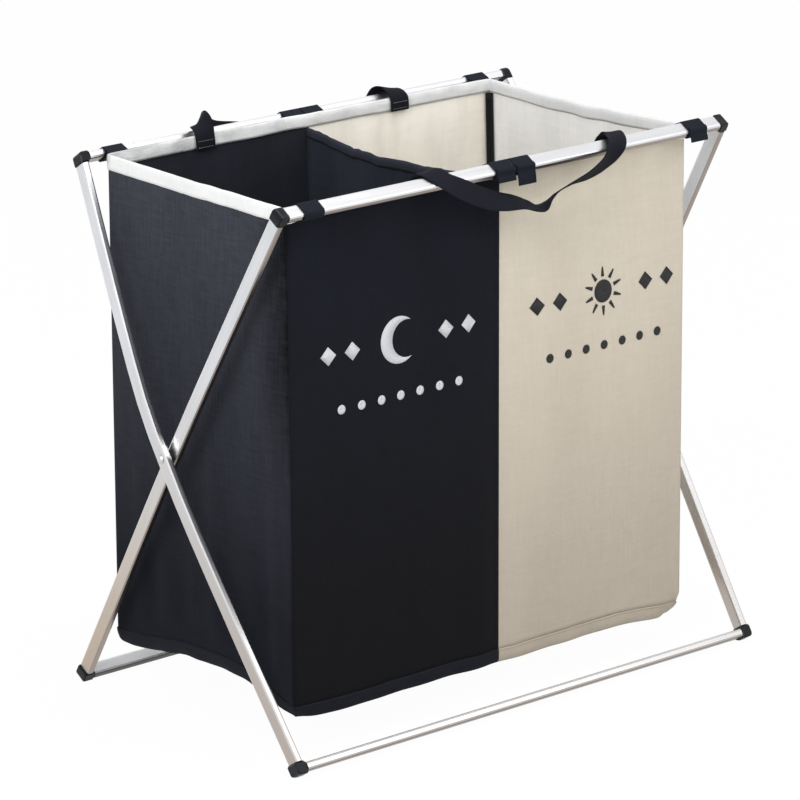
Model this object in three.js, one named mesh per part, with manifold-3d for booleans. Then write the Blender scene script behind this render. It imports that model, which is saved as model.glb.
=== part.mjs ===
// Folding laundry hamper with two cloth bins. Two flat-tube aluminium frames cross like scissors
// on a rivet at each side. The bag hangs between their two top rails on eight wrap straps, a
// divider parts it into a dark and a light bin, and a webbing handle hangs over each top rail.
// Millimetres, +Z up, front towards -Y, dark bin towards -X. The origin is on the floor, midway
// between the feet.
import * as THREE from "three";
import { mergeVertices } from "three/addons/utils/BufferGeometryUtils.js";
import Module from "manifold-3d";

const wasm = await Module();
wasm.setup();

// Clearances
const seatGap = 0.3; // between pieces that touch
const overrun = 4; // how far a cutting tool or a fused root runs past the face it crosses

// Stance of the frames
const frameWidth = 600; // between the two leg axes of the inner frame, at its corners
const outerTopInset = 7.5; // how much closer in the outer frame's top corners stand
const outerFootOutset = 12.5; // how much further out its feet stand
const topDepth = 348; // between the axes of the two top rails
const footDepth = 390; // between the axes of the two bottom rails
const frameRise = 576; // from the bottom rail axes up to the top rail axes
const pivotRise = 292; // from the bottom rail axes up to the rivets
const footHeight = 8; // from the floor up to the bottom rail axes

// Flat tube that all rails and legs are cut from
const tubeWide = 16;
const tubeThin = 9;
const tubeWall = 1.2;
const tubeRound = 2.5;
const tubeFacets = 1; // straight steps in each half of a rounded edge

// Each leg is two nearly straight halves that lean outwards to the rivet. The bag's pull also
// bends them a little towards each other.
const innerLegBow = 13; // how far an inner leg stands out at the rivet
const rivetFlat = 24; // straight stretch each side of the rivet
const bendRoundShare = 0.2; // of a half, rounded where the leg bends into that stretch
const legSteps = 18;

// Moulded corners
const cornerInset = 7; // from the corner's axes to the cut ends of the tubes
const cornerOutset = 5.5; // from the corner's axes to its outer faces
const soleOutset = 7; // the same below a bottom rail, where the corner is a foot
const cornerSkin = 0.5; // how far the moulding stands proud of the tube
const cornerRound = 4.5;
const cornerChamfer = 1.5;
const spigotLength = 22;
const spigotTip = 1; // chamfer at a spigot's end

// Rivets and their spacers
const rivetRadius = 2.5;
const rivetHeadRadius = 5;
const rivetHeadHeight = 2.4;
const rivetSides = 24;
const spacerThick = 3;
const spacerRadius = 7.5;

// Bag
const bagSideGap = 30; // from a leg axis, at the corners, to the bag's side
const bagFaceGap = 19; // from a top rail axis to the bag's front or back face
const bagRimRise = 2; // the rim's height above the top rail axes
const bagClearance = 31; // from the bottom rail axes up to the bag's underside
const cloth = 2;
const dividerSag = 10;
const rimFacets = 12;
const bandHeight = 17.5;
const bandWall = 0.8;
const bindingWidth = 6;
const bindingThick = 0.8;
const clothStep = 75; // longest edge of a facet on the bag
const wallSwell = 3; // how far a wall stands out in its middle
// The bag hangs askew. The leans are how far its upright edges stand to the right of their even
// places, at the rim and at the base.
const rimLeans = {
  frontLeft: -7, frontMiddle: 6.6, frontRight: -3.5, backLeft: 0, backMiddle: -8, backRight: -14.5,
};
const baseLeans = {
  frontLeft: -14.6, frontMiddle: -5.3, frontRight: -14.2, backLeft: -13.9, backMiddle: -6, backRight: -12,
};

// Wrap straps that hold the bag on the top rails
const strapWidth = 25;
const strapThick = 1.5;
const strapTail = 11; // sewn length down the band
// Edge is from the bag's side to the middle of the strap near it, spread between the middles of
// the pair beside the divider, and shift from the divider to the middle of that pair.
const frontStraps = { edge: 12, spread: 34, shift: 7 };
const backStraps = { edge: 21, spread: 26.5, shift: 1.5 };

// Webbing handles
const webbingWidth = 25;
const webbingThick = 1.5;
const tabLength = 22; // sewn length inside the rim
const tabBend = 4; // how far above the rim a tab starts to bend over to the rail
const handleDrop = 40; // from the rail axis down to the middle of the hanging loop
const handleFacets = 20;
const bendFacets = 4;
// Spread is between a handle's two ends, shift is from the divider to its middle, and slack is
// how loosely the webbing rides over the rail.
const frontHandle = { spread: 242, shift: 25, slack: 1.2 };
const backHandle = { spread: 267, shift: -12.5, slack: 7 };

// Sizes that follow from those above
const bagWidth = frameWidth - 2 * bagSideGap;
const bagDepth = topDepth - 2 * bagFaceGap;
const meanDepth = (topDepth + footDepth) / 2;
const tilt = Math.atan2(meanDepth, frameRise);
const legAxisLength = Math.hypot(meanDepth, frameRise);
const pivotAlong = (footDepth / 2) * Math.sin(tilt) + pivotRise * Math.cos(tilt);
const pivotAside = (footDepth / 2) * Math.cos(tilt) - pivotRise * Math.sin(tilt);
const innerPivotPlace = frameWidth / 2 + innerLegBow;
const outerPivotPlace = innerPivotPlace + tubeThin + spacerThick + 2 * seatGap;
const tubeReach = Math.hypot(tubeWide / 2 - tubeRound, tubeThin / 2 - tubeRound) + tubeRound;
const railHeight = footHeight + frameRise;
const pivotHeight = footHeight + pivotRise;
const rimHeight = railHeight + bagRimRise;
const bagBase = footHeight + bagClearance;
const panelTop = rimHeight - bandWall - seatGap;
const bandReach = cloth / 2 + seatGap + bandWall; // from a panel's middle to its band's faces
const panelInset = bagFaceGap + cloth / 2; // from a rail axis to a panel's middle

const material = (color, roughness, metalness) =>
  new THREE.MeshStandardMaterial({ color, roughness, metalness, side: THREE.DoubleSide });
const aluminium = material(0xc9cacb, 0.35, 0.9);
const steel = material(0xb4b5b8, 0.3, 1);
const blackPlastic = material(0x15171a, 0.45, 0);
const blackWebbing = material(0x1b1d22, 0.85, 0);
const darkCloth = material(0x23262d, 0.9, 0);
const lightCloth = material(0xcfc7b6, 0.9, 0);
const bandCloth = material(0xe2e3e4, 0.75, 0);

const hamper = new THREE.Group();

function addMesh(parent, name, geometry, meshMaterial, x = 0, y = 0, z = 0) {
  const mesh = new THREE.Mesh(geometry, meshMaterial);
  mesh.name = name;
  mesh.position.set(x, y, z);
  parent.add(mesh);
  return mesh;
}

// Booleans
function solidOf(geometry) {
  const plain = geometry.index ? geometry.toNonIndexed() : geometry.clone();
  plain.deleteAttribute("normal");
  plain.deleteAttribute("uv");
  const merged = mergeVertices(plain);
  const vertProperties = new Float32Array(merged.attributes.position.array);
  const triVerts = new Uint32Array(merged.index.array);
  return new wasm.Manifold(new wasm.Mesh({ numProp: 3, vertProperties, triVerts }));
}

function geometryOf(solid) {
  const mesh = solid.getMesh();
  const geometry = new THREE.BufferGeometry();
  geometry.setAttribute("position", new THREE.BufferAttribute(mesh.vertProperties, 3));
  geometry.setIndex(new THREE.BufferAttribute(mesh.triVerts, 1));
  geometry.computeVertexNormals();
  return geometry;
}

function joined(...geometries) {
  return geometryOf(geometries.map(solidOf).reduce((whole, piece) => whole.add(piece)));
}

function cut(geometry, tool) {
  return geometryOf(solidOf(geometry).subtract(solidOf(tool)));
}

// Shapes and sweeps
function roundedRectangle(width, height, radius, path = new THREE.Shape()) {
  const x = width / 2 - radius;
  const y = height / 2 - radius;
  path.moveTo(x, -y - radius);
  path.absarc(x, -y, radius, -Math.PI / 2, 0, false);
  path.absarc(x, y, radius, 0, Math.PI / 2, false);
  path.absarc(-x, y, radius, Math.PI / 2, Math.PI, false);
  path.absarc(-x, -y, radius, Math.PI, Math.PI * 1.5, false);
  return path;
}

function extruded(shape, depth, options = {}) {
  const geometry = new THREE.ExtrudeGeometry(shape, { depth, bevelEnabled: false, ...options });
  return geometry.translate(0, 0, -depth / 2);
}

// Turns an extrusion so that it runs along X, with the drawing's axes on Y and Z.
const drawingToX = new THREE.Matrix4().makeBasis(
  new THREE.Vector3(0, 1, 0),
  new THREE.Vector3(0, 0, 1),
  new THREE.Vector3(1, 0, 0),
);
const extrudedAlongX = (shape, length, options) =>
  extruded(shape, length, options).applyMatrix4(drawingToX);

// A strip of even width drawn along a run of points.
function ribbon(points, width) {
  const sides = [[], []];
  points.forEach((point, index) => {
    const before = points[Math.max(index - 1, 0)];
    const after = points[Math.min(index + 1, points.length - 1)];
    const along = after.clone().sub(before).normalize();
    const across = new THREE.Vector2(-along.y, along.x).multiplyScalar(width / 2);
    sides[0].push(point.clone().add(across));
    sides[1].push(point.clone().sub(across));
  });
  return new THREE.Shape([...sides[0], ...sides[1].reverse()]);
}

function box(width, depth, height) {
  return new THREE.BoxGeometry(width, depth, height);
}

// Frame tubes, hollow, with the wide face square to the frame's plane
function tubeSection(alongX, alongY) {
  const section = roundedRectangle(alongX, alongY, tubeRound);
  const bore = new THREE.Path();
  const boreRound = tubeRound - tubeWall;
  section.holes.push(
    roundedRectangle(alongX - 2 * tubeWall, alongY - 2 * tubeWall, boreRound, bore),
  );
  return section;
}

function railGeometry(cornerSpan) {
  const length = cornerSpan - 2 * (cornerInset + seatGap);
  return extrudedAlongX(tubeSection(tubeWide, tubeThin), length, { curveSegments: tubeFacets });
}

// Share of a leg's bow at a height along it: one beside the rivet and none at a corner's axes
function bowShare(along) {
  const reach = along > pivotAlong ? legAxisLength - pivotAlong : pivotAlong;
  const away = Math.max(Math.abs(along - pivotAlong) - rivetFlat, 0) / (reach - rivetFlat);
  const rounded = Math.hypot(Math.min(away, 1), bendRoundShare);
  const end = Math.hypot(1, bendRoundShare);
  return (end - rounded) / (end - bendRoundShare);
}

// Bends a piece that is drawn round a straight leg axis at the corners' place, outwards and aside.
function followLeg(geometry, side, { topPlace, footPlace, pivotPlace }, asideBow) {
  const places = geometry.attributes.position;
  for (let index = 0; index < places.count; index += 1) {
    const along = places.getZ(index);
    const share = bowShare(along);
    const outBow = pivotPlace - (along > pivotAlong ? topPlace : footPlace);
    places.setX(index, places.getX(index) + side * outBow * share);
    places.setY(index, places.getY(index) + asideBow * share);
  }
  return geometry;
}

// A leg's upper and lower half start at their own corners' places and meet at the rivet.
function legGeometry(side, places, asideBow) {
  const length = legAxisLength - 2 * (cornerInset + seatGap);
  const section = tubeSection(tubeThin, tubeWide);
  const tube = extruded(section, length, { steps: legSteps, curveSegments: tubeFacets });
  tube.translate(0, 0, legAxisLength / 2);
  const points = tube.attributes.position;
  for (let index = 0; index < points.count; index += 1) {
    const endPlace = points.getZ(index) > pivotAlong ? places.topPlace : places.footPlace;
    points.setX(index, points.getX(index) + side * endPlace);
  }
  followLeg(tube, side, places, asideBow);
  const drillLength = tubeThin + 2 * overrun;
  const drill = new THREE.CylinderGeometry(
    rivetRadius + seatGap, rivetRadius + seatGap, drillLength, rivetSides,
  );
  drill.rotateZ(Math.PI / 2);
  drill.translate(side * places.pivotPlace, asideBow, pivotAlong);
  return cut(tube, drill);
}

// Moulded corner: an elbow whose two spigots plug into a rail and a leg, splayed as the leg
// leans. It is drawn for the right end of a top rail, with the rail towards -X and the leg
// towards -Z, and is alike both ways, so quarter turns give the other three.
function elbowShape(outset) {
  const half = tubeThin / 2 + cornerSkin;
  const shape = new THREE.Shape();
  shape.moveTo(-cornerInset, half);
  shape.lineTo(-cornerInset, -half);
  shape.lineTo(-half - cornerChamfer, -half);
  shape.lineTo(-half, -half - cornerChamfer);
  shape.lineTo(-half, -cornerInset);
  shape.lineTo(half, -cornerInset);
  shape.lineTo(outset, -half);
  shape.lineTo(outset, outset - cornerRound);
  shape.absarc(outset - cornerRound, outset - cornerRound, cornerRound, 0, Math.PI / 2, false);
  shape.lineTo(-half, outset);
  return shape;
}

function spigotGeometry() {
  const bore = tubeWall + seatGap;
  const wide = tubeWide - 2 * bore;
  const thin = tubeThin - 2 * bore;
  const shape = roundedRectangle(wide, thin, tubeRound - bore);
  const length = spigotLength + overrun;
  const spigot = new THREE.ExtrudeGeometry(shape, {
    depth: length - spigotTip,
    bevelSize: spigotTip / 2,
    bevelOffset: -spigotTip / 2,
    bevelThickness: spigotTip / 2,
    bevelSegments: 1,
    curveSegments: 1,
  });
  spigot.translate(0, 0, spigotTip / 2 - overrun);
  return spigot.applyMatrix4(drawingToX);
}

function cornerGeometry(side, top, places, asideBow) {
  const outset = top ? cornerOutset : soleOutset;
  const body = new THREE.ExtrudeGeometry(elbowShape(outset), {
    depth: tubeWide + 2 * cornerSkin - 2 * cornerChamfer,
    bevelSize: cornerChamfer,
    bevelOffset: -cornerChamfer,
    bevelThickness: cornerChamfer,
    bevelSegments: 1,
    curveSegments: tubeFacets * 2,
  });
  body.translate(0, 0, cornerChamfer - tubeWide / 2 - cornerSkin);
  body.rotateX(Math.PI / 2);
  const railSpigot = spigotGeometry();
  railSpigot.rotateZ(Math.PI);
  railSpigot.translate(-cornerInset, 0, 0);
  const legSpigot = spigotGeometry();
  legSpigot.rotateY(Math.PI / 2);
  legSpigot.translate(0, 0, -cornerInset);
  const elbow = joined(body, railSpigot, legSpigot);
  const quarterTurns = top ? (side > 0 ? 0 : 3) : side > 0 ? 1 : 2;
  elbow.rotateY((quarterTurns * Math.PI) / 2);
  elbow.translate(side * (top ? places.topPlace : places.footPlace), 0, top ? legAxisLength : 0);
  return followLeg(elbow, side, places, asideBow);
}

// A bottom corner ends in a flat sole on the floor.
function footedCorner(geometry, lean) {
  const block = box(2 * frameWidth, footDepth, footHeight);
  block.translate(0, 0, -footHeight * 1.5);
  block.rotateX(-lean);
  return cut(geometry, block);
}

// Places are half the spans between the two leg axes: at the top, at the feet and at the rivets.
function addFrame(name, lean, places) {
  const frame = new THREE.Group();
  frame.position.set(0, (Math.sign(lean) * footDepth) / 2, footHeight);
  frame.rotation.x = lean;
  hamper.add(frame);
  const asideBow = -Math.sign(lean) * pivotAside;
  const topRail = railGeometry(2 * places.topPlace);
  addMesh(frame, `${name}_top_rail`, topRail, aluminium, 0, 0, legAxisLength);
  addMesh(frame, `${name}_bottom_rail`, railGeometry(2 * places.footPlace), aluminium);
  for (const [sideName, side] of [["left", -1], ["right", 1]]) {
    addMesh(frame, `${name}_${sideName}_leg`, legGeometry(side, places, asideBow), aluminium);
    const upper = cornerGeometry(side, true, places, asideBow);
    addMesh(frame, `${name}_top_${sideName}_corner`, upper, blackPlastic);
    const lower = footedCorner(cornerGeometry(side, false, places, asideBow), lean);
    addMesh(frame, `${name}_bottom_${sideName}_corner`, lower, blackPlastic);
  }
}

// Rivet: two domed heads on a shank, turned about X
function rivetGeometry(grip) {
  const profile = [new THREE.Vector2(0, -grip / 2 - rivetHeadHeight)];
  const dome = new THREE.EllipseCurve(
    0, -grip / 2, rivetHeadRadius, rivetHeadHeight, Math.PI * 1.5, Math.PI * 2,
  );
  profile.push(...dome.getPoints(tubeFacets * 2).slice(1));
  profile.push(new THREE.Vector2(rivetRadius, -grip / 2));
  const mirrored = profile.map((point) => new THREE.Vector2(point.x, -point.y)).reverse();
  const rivet = new THREE.LatheGeometry([...profile, ...mirrored], rivetSides);
  return rivet.rotateZ(-Math.PI / 2);
}

function spacerGeometry() {
  const bore = rivetRadius + seatGap;
  const corners = [
    [bore, -spacerThick / 2], [spacerRadius, -spacerThick / 2],
    [spacerRadius, spacerThick / 2], [bore, spacerThick / 2], [bore, -spacerThick / 2],
  ];
  const profile = corners.map(([x, y]) => new THREE.Vector2(x, y));
  return new THREE.LatheGeometry(profile, rivetSides).rotateZ(-Math.PI / 2);
}

function addPivot(sideName, side) {
  const innerFace = innerPivotPlace - tubeThin / 2;
  const outerFace = outerPivotPlace + tubeThin / 2;
  const grip = outerFace - innerFace + 2 * seatGap;
  const x = (side * (innerFace + outerFace)) / 2;
  addMesh(hamper, `${sideName}_pivot_rivet`, rivetGeometry(grip), steel, x, 0, pivotHeight);
  addMesh(hamper, `${sideName}_pivot_spacer`, spacerGeometry(), blackPlastic, x, 0, pivotHeight);
}

// Wrap strap: a ring round the rail with a tail sewn to the outside of the bag's band. It is
// drawn from the rail's axis, with inward = 1 for the front rail and -1 for the back rail.
function strapGeometry(inward) {
  const hold = seatGap + strapThick;
  const ringShape = roundedRectangle(tubeWide + 2 * hold, tubeThin + 2 * hold, tubeRound + hold);
  ringShape.holes.push(roundedRectangle(
    tubeWide + 2 * seatGap, tubeThin + 2 * seatGap, tubeRound + seatGap, new THREE.Path(),
  ));
  const ring = extrudedAlongX(ringShape, strapWidth, { curveSegments: tubeFacets * 2 });
  ring.rotateX(inward * tilt);
  const ringSide = tubeWide / 2 + seatGap + strapThick / 2;
  const bandSide = panelInset - bandReach - seatGap - strapThick / 2;
  const root = new THREE.Vector2(ringSide * Math.cos(tilt), ringSide * Math.sin(tilt));
  const sewn = new THREE.Vector2(bandSide, root.y - (bandSide - root.x));
  const end = new THREE.Vector2(bandSide, sewn.y - strapTail);
  const run = [root, sewn, end].map((point) => new THREE.Vector2(inward * point.x, point.y));
  return joined(ring, extrudedAlongX(ribbon(run, strapThick), strapWidth));
}

// Handle webbing, drawn from the rail's axis: two sewn tabs climb inside the bag's band and bend
// over to the top of the rail, and the loop takes over there and hangs outside. The loop turns
// about the rail's axis.
const tabSide = panelInset + bandReach + seatGap + webbingThick / 2;
const rideRadius = (slack) => tubeReach + seatGap + webbingThick / 2 + slack;

function tabGeometry(inward, { slack }) {
  const ride = rideRadius(slack);
  const bend = new THREE.Vector2(tabSide, bagRimRise + tabBend);
  const leave = bend.angle() + Math.acos(ride / bend.length());
  const meet = new THREE.Vector2(ride * Math.cos(leave), ride * Math.sin(leave));
  const turned = bend.clone().add(meet.clone().sub(bend).setLength(tabBend));
  const path = new THREE.Path().moveTo(tabSide, bagRimRise - tabLength);
  path.lineTo(tabSide, bagRimRise);
  path.quadraticCurveTo(bend.x, bend.y, turned.x, turned.y);
  path.lineTo(meet.x, meet.y);
  path.absarc(0, 0, ride, leave, Math.PI / 2 - seatGap / 2 / ride, false);
  const run = path.getPoints(bendFacets).map((point) => new THREE.Vector2(inward * point.x, point.y));
  return extrudedAlongX(ribbon(run, webbingThick), webbingWidth);
}

function loopGeometry(inward, { spread, slack }) {
  const ride = rideRadius(slack);
  const path = new THREE.Path();
  path.absarc(0, 0, ride, Math.PI / 2 + seatGap / 2 / ride, Math.PI, false);
  path.lineTo(-ride, -overrun);
  const run = path.getPoints(bendFacets).map((point) => new THREE.Vector2(inward * point.x, point.y));
  const hookShape = ribbon(run, webbingThick);
  const dip = (handleDrop * 4) / 3;
  const swag = new THREE.Path().moveTo(-spread / 2, 0);
  swag.bezierCurveTo(-spread / 2, -dip, spread / 2, -dip, spread / 2, 0);
  const loop = extruded(ribbon(swag.getPoints(handleFacets), webbingWidth), webbingThick);
  loop.rotateX(Math.PI / 2);
  loop.translate(0, -inward * ride, 0);
  const hooks = [-spread / 2, spread / 2].map((place) =>
    extrudedAlongX(hookShape, webbingWidth).translate(place, 0, 0),
  );
  return joined(loop, ...hooks);
}

function addRailFurniture(name, inward, straps, handle) {
  const railPlace = (-inward * topDepth) / 2;
  const outerPlace = bagWidth / 2 - straps.edge;
  const strapPlaces = {
    left: -outerPlace,
    middle_left: straps.shift - straps.spread / 2,
    middle_right: straps.shift + straps.spread / 2,
    right: outerPlace,
  };
  for (const [end, x] of Object.entries(strapPlaces)) {
    const strap = strapGeometry(inward);
    addMesh(hamper, `${name}_strap_${end}`, strap, blackWebbing, x, railPlace, railHeight);
  }
  const loop = loopGeometry(inward, handle);
  addMesh(hamper, `${name}_handle`, loop, blackWebbing, handle.shift, railPlace, railHeight);
  for (const [end, side] of [["left", -1], ["right", 1]]) {
    const x = handle.shift + (side * handle.spread) / 2;
    const tab = tabGeometry(inward, handle);
    addMesh(hamper, `${name}_handle_tab_${end}`, tab, blackWebbing, x, railPlace, railHeight);
  }
}

// Lean of the bag at one height, for a share of its half width and a share of its depth
function leanAt(leans, across, back) {
  const side = across < 0 ? "Left" : "Right";
  const middle = THREE.MathUtils.lerp(leans.frontMiddle, leans.backMiddle, back);
  const edge = THREE.MathUtils.lerp(leans[`front${side}`], leans[`back${side}`], back);
  return THREE.MathUtils.lerp(middle, edge, Math.abs(across));
}

// None at a seam, where the share is 0 or 1, and all in the middle between two
const swellShare = (share) => (1 - Math.cos(2 * Math.PI * THREE.MathUtils.clamp(share, 0, 1))) / 2;

// Adds a piece of the bag, drawn square and in its place: it leans as the bag hangs and swells
// between the seams.
function addHung(name, geometry, look, x = 0, y = 0, z = 0) {
  const solid = solidOf(geometry.clone().translate(x, y, z));
  const piece = geometryOf(solid.refineToLength(clothStep));
  const places = piece.attributes.position;
  const bandFoot = rimHeight - bandHeight;
  for (let index = 0; index < places.count; index += 1) {
    const across = (places.getX(index) * 2) / bagWidth;
    const along = (places.getY(index) * 2) / bagDepth;
    const height = places.getZ(index);
    const back = (along + 1) / 2;
    const up = (height - bagBase) / (rimHeight - bagBase);
    const rise = wallSwell * swellShare((height - bagBase) / (bandFoot - bagBase));
    const lean = THREE.MathUtils.lerp(
      leanAt(baseLeans, across, back), leanAt(rimLeans, across, back), up,
    );
    places.setX(index, places.getX(index) + lean + rise * swellShare(back) * across);
    places.setY(index, places.getY(index) + rise * swellShare(Math.abs(across)) * along);
  }
  piece.computeVertexNormals();
  addMesh(hamper, name, piece, look);
}

// Bag: cloth panels that meet edge to edge
function addFacePanels(name, facing) {
  const height = panelTop - bagBase;
  const width = (bagWidth - seatGap) / 2;
  const y = facing * (bagDepth - cloth) / 2;
  const z = bagBase + height / 2;
  for (const [bin, side, look] of [["dark", -1, darkCloth], ["light", 1, lightCloth]]) {
    const x = (side * (width + seatGap)) / 2;
    addHung(`bag_${name}_${bin}`, box(width, cloth, height), look, x, y, z);
  }
}

// Side or divider panel: full depth below the band and notched beside it, with a sagging rim
function crossPanelShape(sag) {
  const wide = bagDepth / 2 - cloth - seatGap;
  const narrow = bagDepth / 2 - cloth / 2 - bandReach - seatGap;
  const notch = rimHeight - bandHeight - seatGap;
  const shape = new THREE.Shape();
  shape.moveTo(-wide, bagBase);
  shape.lineTo(wide, bagBase);
  shape.lineTo(wide, notch);
  shape.lineTo(narrow, notch);
  shape.lineTo(narrow, panelTop);
  if (sag > 0) shape.quadraticCurveTo(0, panelTop - 2 * sag, -narrow, panelTop);
  else shape.lineTo(-narrow, panelTop);
  shape.lineTo(-narrow, notch);
  shape.lineTo(-wide, notch);
  return shape;
}

function addCrossPanels() {
  const side = extrudedAlongX(crossPanelShape(0), cloth);
  const divider = extrudedAlongX(crossPanelShape(dividerSag), cloth, { curveSegments: rimFacets });
  const x = (bagWidth - cloth) / 2;
  addHung("bag_left_side", side, darkCloth, -x);
  addHung("bag_right_side", side, lightCloth, x);
  addHung("bag_divider", divider, darkCloth);
}

function addBases() {
  const inside = bagWidth / 2 - cloth - cloth / 2;
  const width = inside - 2 * seatGap;
  const depth = bagDepth - 2 * (cloth + seatGap);
  const x = cloth / 2 + inside / 2;
  const z = bagBase + cloth / 2;
  addHung("bag_base_dark", box(width, depth, cloth), darkCloth, -x, 0, z);
  addHung("bag_base_light", box(width, depth, cloth), lightCloth, x, 0, z);
}

// Band: a folded strip that straddles the bag's rim, drawn from the panel's middle and the rim
function bandShape() {
  const slot = bandReach - bandWall;
  const corners = [
    [-bandReach, -bandHeight], [-slot, -bandHeight], [-slot, -bandWall], [slot, -bandWall],
    [slot, -bandHeight], [bandReach, -bandHeight], [bandReach, 0], [-bandReach, 0],
  ];
  return new THREE.Shape(corners.map(([x, y]) => new THREE.Vector2(x, y)));
}

function addBands() {
  const longBand = extrudedAlongX(bandShape(), bagWidth - cloth + 2 * bandReach);
  const shortLength = bagDepth - cloth - 2 * (bandReach + seatGap);
  const shortBand = extrudedAlongX(bandShape(), shortLength).rotateZ(Math.PI / 2);
  const x = (bagWidth - cloth) / 2;
  const y = (bagDepth - cloth) / 2;
  addHung("rim_band_front", longBand, bandCloth, 0, -y, rimHeight);
  addHung("rim_band_back", longBand, bandCloth, 0, y, rimHeight);
  addHung("rim_band_left", shortBand, bandCloth, -x, 0, rimHeight);
  addHung("rim_band_right", shortBand, bandCloth, x, 0, rimHeight);
}

// Binding tape over the upright seams inside the bag's corners
function addBindings() {
  const low = bagBase + cloth + seatGap;
  const height = rimHeight - bandHeight - seatGap - low;
  const x = bagWidth / 2 - cloth - seatGap - bindingWidth / 2;
  const y = bagDepth / 2 - cloth - seatGap - bindingThick / 2;
  for (const [end, facing] of [["front", -1], ["back", 1]]) {
    for (const [sideName, side] of [["left", -1], ["right", 1]]) {
      const tape = box(bindingWidth, bindingThick, height);
      const name = `seam_tape_${end}_${sideName}`;
      addHung(name, tape, blackWebbing, side * x, facing * y, low + height / 2);
    }
  }
}

addFrame("inner", tilt, {
  topPlace: frameWidth / 2,
  footPlace: frameWidth / 2,
  pivotPlace: innerPivotPlace,
});
addFrame("outer", -tilt, {
  topPlace: frameWidth / 2 - outerTopInset,
  footPlace: frameWidth / 2 + outerFootOutset,
  pivotPlace: outerPivotPlace,
});
addPivot("left", -1);
addPivot("right", 1);
addRailFurniture("front", 1, frontStraps, frontHandle);
addRailFurniture("back", -1, backStraps, backHandle);
addFacePanels("front", -1);
addFacePanels("back", 1);
addCrossPanels();
addBases();
addBands();
addBindings();

export default hamper;
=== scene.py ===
"""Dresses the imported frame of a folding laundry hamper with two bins: finishes for the frame, the
cloth bag with its rim tape and divider, wrap straps, webbing handles, printed marks, floor, lights
and camera. Lengths are in metres, with x to the right, y to the back and z up."""
import math

import bpy
import numpy as np
from mathutils import Matrix, Vector, noise


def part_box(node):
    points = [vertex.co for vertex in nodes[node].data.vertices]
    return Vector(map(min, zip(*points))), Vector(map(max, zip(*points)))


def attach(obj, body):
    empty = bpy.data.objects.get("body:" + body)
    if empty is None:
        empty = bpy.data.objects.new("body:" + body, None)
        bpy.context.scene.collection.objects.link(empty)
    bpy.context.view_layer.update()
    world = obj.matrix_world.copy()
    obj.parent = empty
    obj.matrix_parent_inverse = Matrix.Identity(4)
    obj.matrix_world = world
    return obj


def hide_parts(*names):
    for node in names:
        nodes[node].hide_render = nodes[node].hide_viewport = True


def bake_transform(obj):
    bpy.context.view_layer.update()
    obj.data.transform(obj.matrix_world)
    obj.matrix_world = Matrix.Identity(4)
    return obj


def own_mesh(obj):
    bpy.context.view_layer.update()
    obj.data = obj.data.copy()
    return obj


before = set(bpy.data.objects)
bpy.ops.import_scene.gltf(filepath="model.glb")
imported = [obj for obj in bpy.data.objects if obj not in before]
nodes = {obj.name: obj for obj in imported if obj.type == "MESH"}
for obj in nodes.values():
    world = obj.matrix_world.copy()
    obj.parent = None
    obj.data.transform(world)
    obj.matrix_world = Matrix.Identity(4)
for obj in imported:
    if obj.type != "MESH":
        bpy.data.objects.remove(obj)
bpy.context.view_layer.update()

# Camera, at the photograph's view, in metres, degrees and pixels
PHOTO_SIDE = 800
SENSOR = 36.0
FOCAL_PIXELS = 4589.33
AZIMUTH = -39.092
ELEVATION = 16.231
ROLL = -1.268
CAMERA_DISTANCE = 5.03114
CAMERA_RIGHT = -0.01355
CAMERA_UP = 0.28562

# Turn of the legs from upright and of the rails' flat tube from level, and the top rails' axes
TILT = math.radians(32.65)
RAIL_Y = 0.174
RAIL_Z = 0.584

# Bag
BAG_HALF_WIDTH = 0.27
BAG_HALF_DEPTH = 0.155
RIM_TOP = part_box("rim_band_front")[1].z
BASE_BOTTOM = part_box("bag_base_dark")[0].z
CLOTH = 0.0009
CORNER_ROUND = 0.004
RIM_OUTSIDE = 0.0145  # how far the rim tape comes down outside, and inside
RIM_INSIDE = 0.0125
RIM_THICK = 0.0007
BASE_TURN = 0.0145  # how far the base cloth comes up the walls to its seam
SEAM_DENT = 0.003  # how far the divider's seam draws in the wall
DIVIDER_TOP = (0.564, 0.56, 0.574)  # height of its edge at the front, in the middle and at the back
DIVIDER_HEM = 0.009

# The bag hangs a little askew on its straps. For each upright edge: how far it stands to the right
# of the square bag at the rim and at the foot.
LEANS = {
    "front_left": (-0.007, -0.0146),
    "front_right": (-0.0035, -0.0142),
    "back_right": (-0.0145, -0.012),
    "back_left": (-0.002, -0.0139),
}
# x of the divider's seam at the rim and at the foot
SEAMS = {"front": (0.0066, -0.0053), "back": (-0.008, -0.006)}

# Walls and their two upright edges, going round the bag from its front left
WALLS = {
    "front": ("front_left", "front_right"),
    "right": ("front_right", "back_right"),
    "back": ("back_right", "back_left"),
    "left": ("back_left", "front_left"),
}
RING = [first for first, _ in WALLS.values()]


def mix(a, b, share):
    return a + (b - a) * share


def ease(share):
    share = min(1.0, max(0.0, share))
    return share * share * (3 - 2 * share)


def unit(vectors):
    """Vector, or rows of vectors, at length 1."""
    return vectors / np.linalg.norm(vectors, axis=-1, keepdims=True)


def between(before, a, b, after, t):
    """Value at t from a to b on the smooth curve through four values."""
    return 0.5 * (2 * a + (b - before) * t + (2 * before - 5 * a + 4 * b - after) * t * t
                  + (3 * a - 3 * b + after - before) * t ** 3)


def curve_at(values, share):
    """Value at a share of a smooth curve through evenly spaced values."""
    steps = len(values) - 1
    place = min(max(share, 0.0), 1.0) * steps
    k = min(int(place), steps - 1)
    return between(values[max(k - 1, 0)], values[k], values[k + 1], values[min(k + 2, steps)], place - k)


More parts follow.
